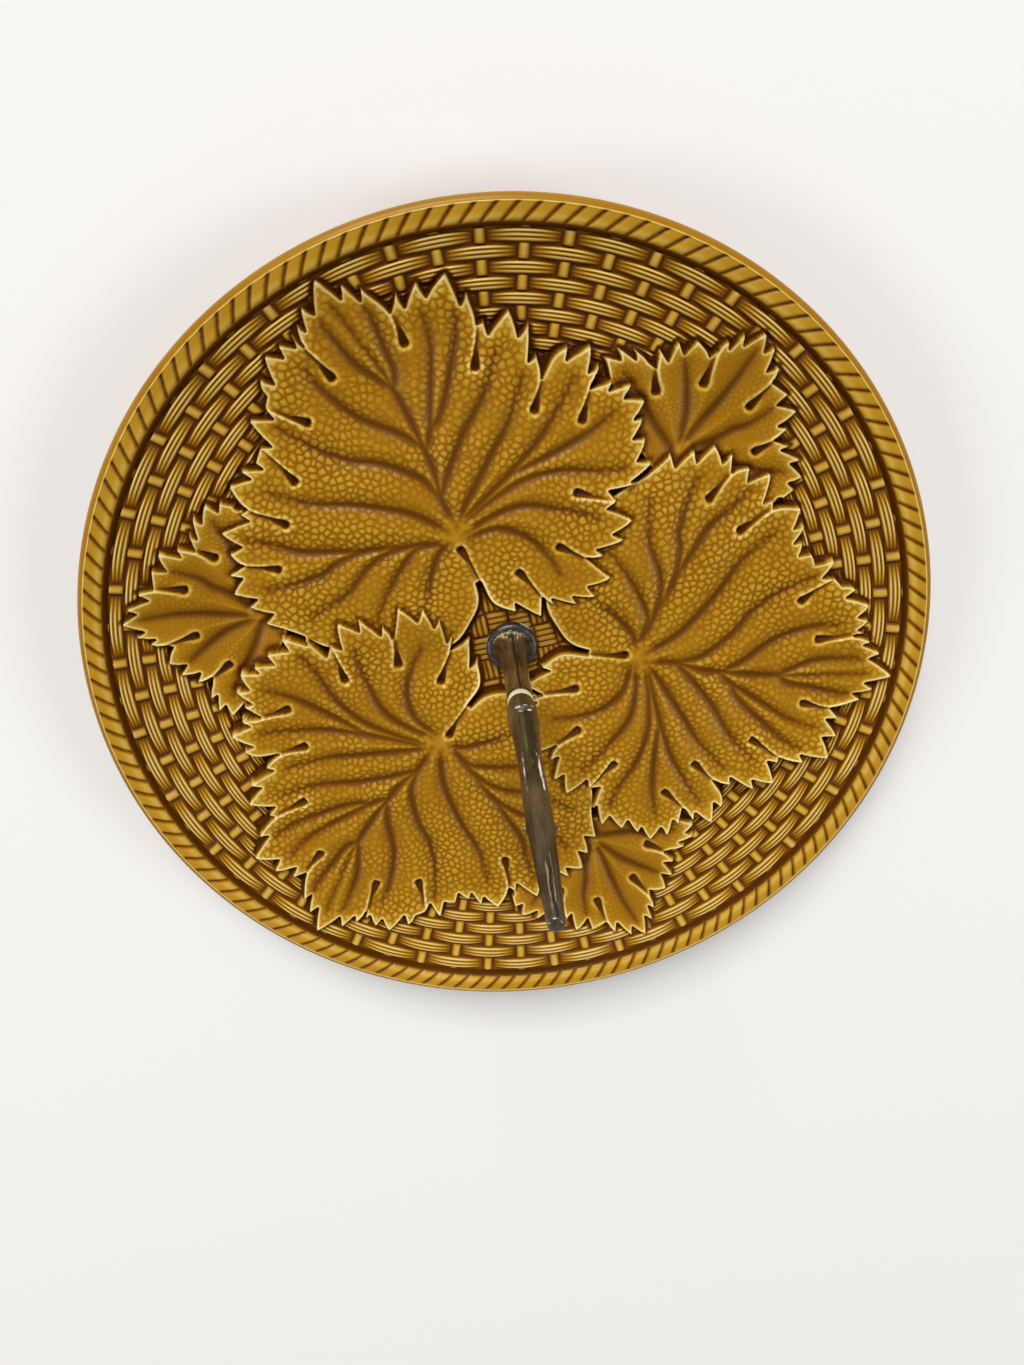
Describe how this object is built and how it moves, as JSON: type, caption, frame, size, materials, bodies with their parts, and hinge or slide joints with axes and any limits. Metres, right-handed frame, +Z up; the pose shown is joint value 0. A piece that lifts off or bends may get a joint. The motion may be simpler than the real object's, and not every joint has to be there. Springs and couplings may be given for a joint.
{
  "type": "cheese platter",
  "caption": "Round glazed earthenware cheese platter with vine leaves in relief on a basket-weave ground, a rope rim, a foot ring and an upright bronze cane handle at its centre.",
  "frame": {"origin": "centre of the foot ring's underside, on the dish's axis", "axes": "+Z up the handle, out of the dish; +Y towards the leaf side that is at the top of the picture, +X to the picture's right"},
  "size_m": [0.3, 0.3, 0.1797],
  "materials": {
    "glaze": "glossy amber glaze, brown where it pools",
    "rubber": "matte",
    "collar_bronze": "dull bronze with a grey-brown patina",
    "ferrule_bronze": "polished golden-brown bronze",
    "bead_brass": "bright polished",
    "cane_bronze": "dark patinated bronze, worn bright at the tip",
    "steel": "plain"
  },
  "bodies": {
    "platter": {"plate": "glaze", "upper_gasket": "rubber", "collar": "collar_bronze", "ferrule": "ferrule_bronze", "stud": "steel", "lower_gasket": "rubber", "backing_washer": "steel", "clamp_nut": "steel"},
    "bead": {"bead_ring": "bead_brass"},
    "grip": {"grip": "cane_bronze"}
  },
  "joints": [
    {"name": "grip_lift", "type": "slide", "parent": "platter", "child": "bead", "axis": [0, 0, 1], "range_m": [0, 0.008]},
    {"name": "grip_turn", "type": "hinge", "parent": "bead", "child": "grip", "pos_m": [0, 0, 0.0662], "axis": [0, 0, 1], "range_deg": [0, 2880]}
  ],
  "couplings": [
    {"joint": "grip_lift", "follows": "grip_turn", "m_per_rad": 0.00015915}
  ]
}
